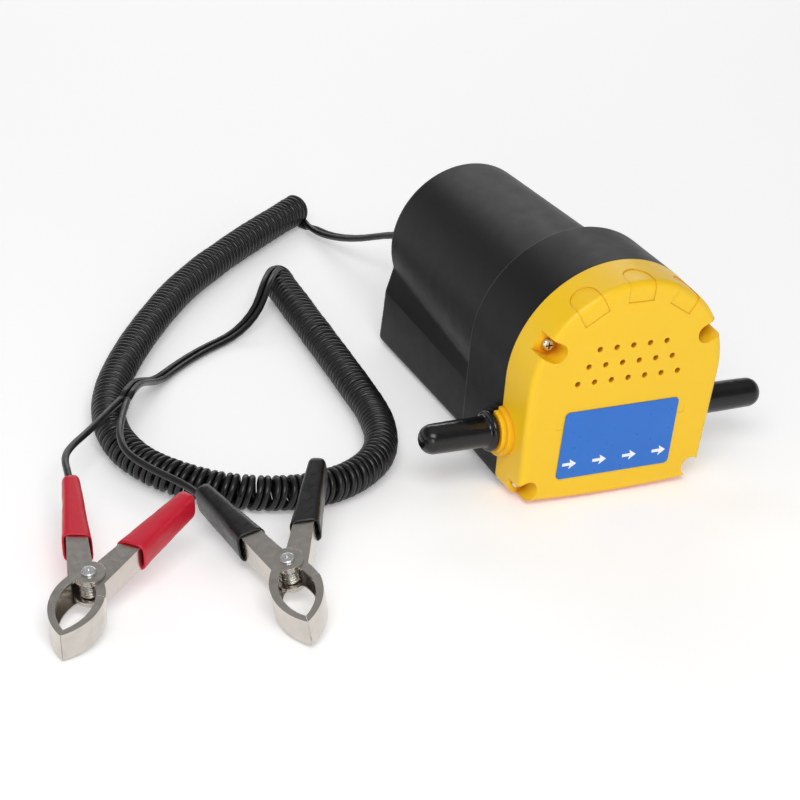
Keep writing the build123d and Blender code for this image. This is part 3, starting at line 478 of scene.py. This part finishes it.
class Finish:
    """A Principled material whose colour, roughness and relief come from procedural nodes."""

    def __init__(self, name, roughness, metallic=0.0, specular=0.5, coat=0.0):
        self.material = bpy.data.materials.new(name)
        self.material.use_nodes = True
        self.tree = self.material.node_tree
        self.shader = self.tree.nodes["Principled BSDF"]
        self.shader.inputs["Roughness"].default_value = roughness
        self.shader.inputs["Metallic"].default_value = metallic
        self.shader.inputs["Specular IOR Level"].default_value = specular
        self.shader.inputs["Coat Weight"].default_value = coat
        self.position = self.node("ShaderNodeTexCoord").outputs["Object"]
        self.normal = None

    def node(self, kind, **settings):
        node = self.tree.nodes.new(kind)
        for key, value in settings.items():
            setattr(node, key, value)
        return node

    def link(self, source, target):
        self.tree.links.new(source, target)

    def stretched(self, factors):
        mapping = self.node("ShaderNodeMapping")
        mapping.inputs["Scale"].default_value = factors
        self.link(self.position, mapping.inputs["Vector"])
        return mapping.outputs["Vector"]

    def noise(self, size_mm, detail=3.0, along=None, rough=0.55):
        texture = self.node("ShaderNodeTexNoise")
        texture.inputs["Scale"].default_value = 1.0 / (size_mm * MM)
        texture.inputs["Detail"].default_value = detail
        texture.inputs["Roughness"].default_value = rough
        self.link(self.stretched(along) if along else self.position, texture.inputs["Vector"])
        return texture.outputs["Fac"]

    def bands(self, size_mm, direction, distortion=0.0):
        texture = self.node("ShaderNodeTexWave", bands_direction=direction)
        texture.inputs["Scale"].default_value = 0.314 / (size_mm * MM)
        texture.inputs["Distortion"].default_value = distortion
        self.link(self.position, texture.inputs["Vector"])
        return texture.outputs["Fac"]

    def spread(self, value, low, high, to_low=0.0, to_high=1.0):
        node = self.node("ShaderNodeMapRange")
        for key, number in (("From Min", low), ("From Max", high), ("To Min", to_low), ("To Max", to_high)):
            node.inputs[key].default_value = number
        self.link(value, node.inputs["Value"])
        return node.outputs["Result"]

    def mix(self, factor, first, second):
        node = self.node("ShaderNodeMix", data_type="RGBA")
        self.link(factor, node.inputs["Factor"])
        for socket, colour in ((node.inputs["A"], first), (node.inputs["B"], second)):
            if isinstance(colour, tuple):
                socket.default_value = (*colour, 1.0)
            else:
                self.link(colour, socket)
        return node.outputs["Result"]

    def product(self, first, second):
        node = self.node("ShaderNodeMath", operation="MULTIPLY")
        self.link(first, node.inputs[0])
        self.link(second, node.inputs[1])
        return node.outputs["Value"]

    def soften(self, radius_mm):
        """Round every edge in the shading by this radius."""
        bevel = self.node("ShaderNodeBevel", samples=4)
        bevel.inputs["Radius"].default_value = radius_mm * MM
        self.normal = bevel.outputs["Normal"]

    def edges(self, radius_mm, gain=6.0):
        """1 along convex and concave edges, 0 elsewhere."""
        bevel = self.node("ShaderNodeBevel", samples=4)
        bevel.inputs["Radius"].default_value = radius_mm * MM
        dot = self.node("ShaderNodeVectorMath", operation="DOT_PRODUCT")
        self.link(bevel.outputs["Normal"], dot.inputs[0])
        self.link(self.node("ShaderNodeNewGeometry").outputs["Normal"], dot.inputs[1])
        return self.spread(dot.outputs["Value"], 1.0, 1.0 - 1.0 / gain)

    def cavity(self, reach_mm):
        """1 deep inside holes and corners, 0 on open surfaces."""
        shade = self.node("ShaderNodeAmbientOcclusion", samples=6)
        shade.inputs["Distance"].default_value = reach_mm * MM
        return self.spread(shade.outputs["AO"], 0.75, 0.25)

    def relief(self, height, depth_mm, strength=1.0):
        bump = self.node("ShaderNodeBump")
        bump.inputs["Strength"].default_value = strength
        bump.inputs["Distance"].default_value = depth_mm * MM
        self.link(height, bump.inputs["Height"])
        if self.normal:
            self.link(self.normal, bump.inputs["Normal"])
        self.normal = bump.outputs["Normal"]

    def done(self, colour, roughness=None):
        self.link(colour, self.shader.inputs["Base Color"])
        if roughness:
            self.link(roughness, self.shader.inputs["Roughness"])
        if self.normal:
            self.link(self.normal, self.shader.inputs["Normal"])
        return self.material


def tint(colour, factor):
    return tuple(min(1.0, c * factor) for c in colour)


def moulded_housing():
    """Black polypropylene with a fine spark texture and slightly paler edges, partly wear and partly painted
    highlight.
    """
    m = Finish("moulded_housing", 0.5, specular=0.22)
    m.soften(0.7)
    m.relief(m.noise(14.0, 2.0), 0.02)
    m.relief(m.noise(0.42, 2.0, rough=0.7), 0.02, 0.4)
    base = m.mix(m.noise(24.0, 4.0), (0.0040, 0.0040, 0.0044), (0.0062, 0.0062, 0.0067))
    # paler grey along the edges: partly wear, partly painted highlight
    edge_wear_and_highlight = m.product(m.edges(0.6), m.spread(m.noise(2.2, 4.0), 0.35, 0.75, 0.0, 0.35))
    colour = m.mix(edge_wear_and_highlight, base, (0.030, 0.030, 0.032))
    return m.done(colour, m.spread(m.noise(8.0, 3.0), 0.3, 0.7, 0.42, 0.48))


def moulded_cover():
    """Yellow ABS: satin, with painted shade in darker orange in its recesses, faint sink marks."""
    m = Finish("moulded_cover", 0.36, specular=0.42)
    m.shader.inputs["Subsurface Weight"].default_value = 0.06
    m.shader.inputs["Subsurface Radius"].default_value = (1.0, 0.45, 0.08)
    m.shader.inputs["Subsurface Scale"].default_value = 0.0012
    m.soften(0.55)
    m.relief(m.noise(18.0, 2.0), 0.03)
    m.relief(m.noise(0.5, 2.0), 0.012, 0.5)
    base = m.mix(m.noise(30.0, 3.0), (0.90, 0.560, 0.010), (0.87, 0.530, 0.008))
    # painted shade: recesses and vent holes darkened towards orange-brown
    colour = m.mix(m.cavity(5.0), base, (0.70, 0.19, 0.006))
    rubbed = m.product(m.edges(0.5), m.spread(m.noise(1.6, 4.0), 0.45, 0.8, 0.0, 0.35))
    colour = m.mix(rubbed, colour, (0.97, 0.74, 0.12))
    return m.done(colour, m.spread(m.noise(5.0, 3.0), 0.3, 0.7, 0.31, 0.43))


def printed_label():
    m = Finish("printed_label", 0.32, specular=0.4, coat=0.25)
    m.shader.inputs["Coat Roughness"].default_value = 0.18
    m.relief(m.noise(9.0, 2.0), 0.01)
    base = m.mix(m.noise(18.0, 2.0), (0.004, 0.125, 0.53), (0.006, 0.155, 0.60))
    screen = m.product(m.bands(0.28, "X"), m.bands(0.28, "Z"))
    colour = m.mix(m.spread(screen, 0.0, 1.0, 0.0, 0.10), base, (0.02, 0.24, 0.76))
    return m.done(colour, m.spread(m.noise(3.0), 0.3, 0.7, 0.27, 0.37))


def printed_white():
    m = Finish("printed_white", 0.4, specular=0.4)
    m.relief(m.noise(0.2, 2.0), 0.004, 0.6)
    colour = m.mix(m.noise(1.5, 3.0), (0.78, 0.80, 0.82), (0.90, 0.91, 0.92))
    return m.done(colour, m.spread(m.noise(2.0), 0.3, 0.7, 0.35, 0.45))


def bright_zinc():
    m = Finish("bright_zinc", 0.25, metallic=1.0)
    m.soften(0.12)
    m.relief(m.noise(0.25, 3.0), 0.01, 0.7)
    base = m.mix(m.noise(1.3, 4.0), (0.62, 0.63, 0.66), (0.80, 0.80, 0.80))
    # painted shade: holes and slots darkened towards brown
    colour = m.mix(m.cavity(1.2), base, (0.10, 0.09, 0.08))
    return m.done(colour, m.spread(m.noise(0.8, 4.0), 0.3, 0.7, 0.18, 0.38))


def nickel_sheet():
    """Nickel plate on stamped sheet: slightly wavy, drawn along the handles, dull in places."""
    m = Finish("nickel_sheet", 0.2, metallic=1.0)
    m.soften(0.35)
    m.relief(m.noise(11.0, 2.0), 0.10)
    m.relief(m.noise(0.9, 3.0, along=(1.0, 1.0, 0.12)), 0.004, 0.4)
    base = m.mix(m.noise(8.0, 4.0), (0.56, 0.52, 0.475), (0.68, 0.64, 0.59))
    stain = m.spread(m.noise(5.0, 4.0), 0.52, 0.80, 0.0, 0.3)
    colour = m.mix(stain, base, (0.36, 0.32, 0.27))
    return m.done(colour, m.spread(m.noise(2.4, 3.0, along=(1.0, 1.0, 0.2)), 0.3, 0.7, 0.18, 0.27))


def sprung_wire():
    m = Finish("sprung_wire", 0.25, metallic=1.0)
    m.relief(m.noise(0.4, 3.0), 0.01, 0.6)
    colour = m.mix(m.noise(1.5, 3.0), (0.40, 0.385, 0.36), (0.72, 0.70, 0.66))
    return m.done(colour, m.spread(m.noise(0.8), 0.3, 0.7, 0.18, 0.34))


def soft_vinyl(name, dark, light, roughness, glow):
    """Dipped vinyl: glossy, faintly orange-peeled, scuffed on its crests."""
    m = Finish(name, roughness, specular=0.45)
    m.shader.inputs["Subsurface Weight"].default_value = glow
    m.shader.inputs["Subsurface Radius"].default_value = (1.0, 0.2, 0.1)
    m.shader.inputs["Subsurface Scale"].default_value = 0.0010
    m.relief(m.noise(4.0, 3.0), 0.10)
    m.relief(m.noise(0.7, 2.0), 0.012, 0.6)
    scuffs = m.spread(m.noise(1.1, 5.0, along=(1.0, 0.3, 1.0), rough=0.75), 0.60, 0.85, 0.0, 0.35)
    colour = m.mix(m.noise(13.0, 3.0), dark, light)
    colour = m.mix(scuffs, colour, tint(light, 1.5))
    return m.done(colour, m.spread(m.noise(3.2, 4.0), 0.3, 0.7, roughness - 0.06, roughness + 0.10))


def cord_jacket():
    m = Finish("cord_jacket", 0.3, specular=0.42)
    m.relief(m.noise(2.5, 3.0), 0.04)
    m.relief(m.noise(0.35, 2.0), 0.008, 0.6)
    colour = m.mix(m.noise(6.0, 4.0), (0.0055, 0.0055, 0.006), (0.012, 0.012, 0.0125))
    return m.done(colour, m.spread(m.noise(3.5, 4.0), 0.3, 0.7, 0.24, 0.40))


def plain_metal(name, dark, light, roughness, line_mm=0.5, along=None):
    """Machined or cast metal parts inside the casing."""
    m = Finish(name, roughness, metallic=1.0)
    m.soften(0.15)
    m.relief(m.noise(line_mm, 3.0, along=along), 0.02, 0.7)
    colour = m.mix(m.noise(5.0, 4.0), dark, light)
    return m.done(colour, m.spread(m.noise(1.5, 3.0), 0.3, 0.7, roughness - 0.08, roughness + 0.1))


def plain_solid(name, dark, light, roughness, grain_mm=0.6):
    """Plastic, rubber, carbon and ferrite parts inside the casing."""
    m = Finish(name, roughness, specular=0.4)
    m.soften(0.15)
    m.relief(m.noise(grain_mm, 3.0), 0.02, 0.7)
    colour = m.mix(m.noise(4.0, 4.0), dark, light)
    return m.done(colour, m.spread(m.noise(1.5, 3.0), 0.3, 0.7, roughness - 0.06, roughness + 0.08))


def stacked_sheets():
    m = Finish("stacked_sheets", 0.4, metallic=1.0)
    m.relief(m.bands(0.5, "Y"), 0.05)
    return m.done(m.mix(m.noise(2.0, 4.0), (0.20, 0.19, 0.18), (0.36, 0.35, 0.34)))


def wound_copper():
    m = Finish("wound_copper", 0.3, metallic=1.0)
    m.relief(m.bands(0.6, "DIAGONAL", 1.5), 0.15)
    return m.done(m.mix(m.noise(1.5, 3.0), (0.42, 0.16, 0.06), (0.72, 0.33, 0.15)))


def paint(target, material):
    target.data.materials.clear()
    target.data.materials.append(material)


def paint_nodes():
    """Give every CAD node the finish of its slot in the record."""
    alloy = plain_metal("cast_alloy", (0.42, 0.42, 0.43), (0.58, 0.58, 0.59), 0.45, 0.8)
    steel = plain_metal("ground_steel", (0.45, 0.45, 0.45), (0.62, 0.62, 0.62), 0.25, 0.2, (1.0, 0.1, 1.0))
    copper = plain_metal("drawn_copper", (0.55, 0.24, 0.12), (0.75, 0.38, 0.2), 0.3)
    carbon = plain_solid("carbon", (0.012, 0.012, 0.012), (0.03, 0.03, 0.03), 0.6)
    zinc = bright_zinc()
    nickel = nickel_sheet()
    vinyl_black = soft_vinyl("vinyl_black", (0.004, 0.004, 0.0045), (0.008, 0.008, 0.0085), 0.30, 0.0)
    by_slot = {
        "housing_black": moulded_housing(), "cover_yellow": moulded_cover(), "label_blue": printed_label(),
        "screw_zinc": zinc, "pump_alloy": alloy, "spout_metal": steel, "shaft_steel": steel,
        "gear_steel": steel,
        "motor_steel": plain_metal("zinc_sheet", (0.5, 0.5, 0.48), (0.7, 0.7, 0.66), 0.3),
        "gasket_fibre": plain_solid("fibre", (0.10, 0.07, 0.04), (0.2, 0.15, 0.1), 0.8),
        "sintered_bronze": plain_metal("sintered_bronze", (0.32, 0.19, 0.08), (0.55, 0.36, 0.18), 0.5, 0.3),
        "seal_rubber": carbon, "carbon": carbon, "magnet_ferrite": carbon,
        "gear_plastic": plain_solid("acetal", (0.62, 0.60, 0.52), (0.75, 0.73, 0.66), 0.4),
        "phenolic": plain_solid("phenolic", (0.08, 0.035, 0.015), (0.14, 0.07, 0.03), 0.5),
        "core_steel": stacked_sheets(), "copper": wound_copper(), "spring_steel": sprung_wire(),
        "cable_black": cord_jacket(), "clamp_nickel": nickel,
        "cap_black": soft_vinyl("vinyl_cap", (0.0035, 0.0035, 0.004), (0.006, 0.006, 0.0065), 0.17, 0.0),
        "sleeve_black": vinyl_black,
        "sleeve_red": soft_vinyl("vinyl_red", (0.50, 0.004, 0.020), (0.60, 0.007, 0.030), 0.36, 0.08),
    }
    for part in RECORD["subparts"]:
        paint(NODES[part["node"]], by_slot[part["material_slot"]])
    for colour in ("red", "black"):
        paint(NODES[f"{colour}_clamp_rivet"], zinc)
    for name in ("commutator", "brush_holders"):
        paint(NODES[name], copper)
    return by_slot


# ---------------------------------------------------------------- studio

def studio_floor():
    size = 6.0
    corners = [(-size, -size, 0), (size, -size, 0), (size, size, 0), (-size, size, 0)]
    floor = mesh_object("floor", corners, [(0, 1, 2, 3)])
    m = Finish("studio_white", 0.9, specular=0.1)
    m.shader.inputs["Emission Color"].default_value = (1.0, 1.0, 1.0, 1.0)
    m.shader.inputs["Emission Strength"].default_value = 0.24
    paint(floor, m.done(m.mix(m.noise(300.0), (0.90, 0.90, 0.90), (0.92, 0.92, 0.92))))


def soft_light(name, place, target, size, power):
    light = bpy.data.lights.new(name, "AREA")
    light.shape = "RECTANGLE"
    light.size, light.size_y = size
    light.energy = power
    obj = bpy.data.objects.new(name, light)
    obj.location = place
    obj.rotation_euler = (Vector(target) - Vector(place)).to_track_quat("-Z", "Y").to_euler()
    bpy.context.scene.collection.objects.link(obj)


def studio_world():
    """White walls near the horizon, a dim band above them and a paler ceiling."""
    world = bpy.data.worlds.new("studio")
    world.use_nodes = True
    tree = world.node_tree
    position = tree.nodes.new("ShaderNodeTexCoord").outputs["Generated"]
    split = tree.nodes.new("ShaderNodeSeparateXYZ")
    tree.links.new(position, split.inputs["Vector"])
    ramp = tree.nodes.new("ShaderNodeValToRGB")
    tree.links.new(split.outputs["Z"], ramp.inputs["Fac"])
    stops = ramp.color_ramp.elements
    stops[0].position, stops[0].color = 0.10, (0.95, 0.95, 0.95, 1.0)
    stops[1].position, stops[1].color = 1.00, (0.60, 0.60, 0.60, 1.0)
    for place, level in ((0.40, 0.24), (0.72, 0.24)):
        stop = stops.new(place)
        stop.color = (level, level, level, 1.0)
    tree.links.new(ramp.outputs["Color"], tree.nodes["Background"].inputs["Color"])
    bpy.context.scene.world = world


def light_studio():
    studio_floor()
    studio_world()
    soft_light("key", (-0.55, -0.80, 1.10), (-0.06, -0.02, 0.04), (0.9, 0.6), 10.0)
    soft_light("rim", (0.35, 1.10, 0.75), (-0.05, 0.0, 0.05), (1.0, 0.35), 3.5)
    soft_light("front", (-0.75, -1.25, 0.35), (-0.05, -0.05, 0.05), (0.5, 0.5), 2.0)
    bpy.context.scene.view_settings.view_transform = "Standard"
    bpy.context.scene.view_settings.look = "None"


# ---------------------------------------------------------------- assembly

def main():
    lead = power_lead()
    clamps = {colour: build_clamp(colour) for colour in ("red", "black")}
    routes = {"red": (RED_ROUTE, (-1.1, 0.8, 0)), "black": (BLACK_ROUTE, (1.1, -0.8, 0))}
    cords = [lead]
    for colour, (route, shift) in routes.items():
        skins, _ = clamps[colour]
        cords.append(single_wire(f"{colour}_wire", route, shift))
    caps = [spout_cap("inlet_cap", -1), spout_cap("outlet_cap", 1)]
    arrows = label_arrows()

    finishes = paint_nodes()
    for cord in cords:
        paint(cord, finishes["cable_black"])
    for cap in caps:
        paint(cap, finishes["cap_black"])
    for colour, (skins, springs) in clamps.items():
        for skin in skins:
            paint(skin, finishes[f"sleeve_{colour}"])
        for spring in springs:
            paint(spring, finishes["spring_steel"])
    paint(arrows, printed_white())
    light_studio()


main()
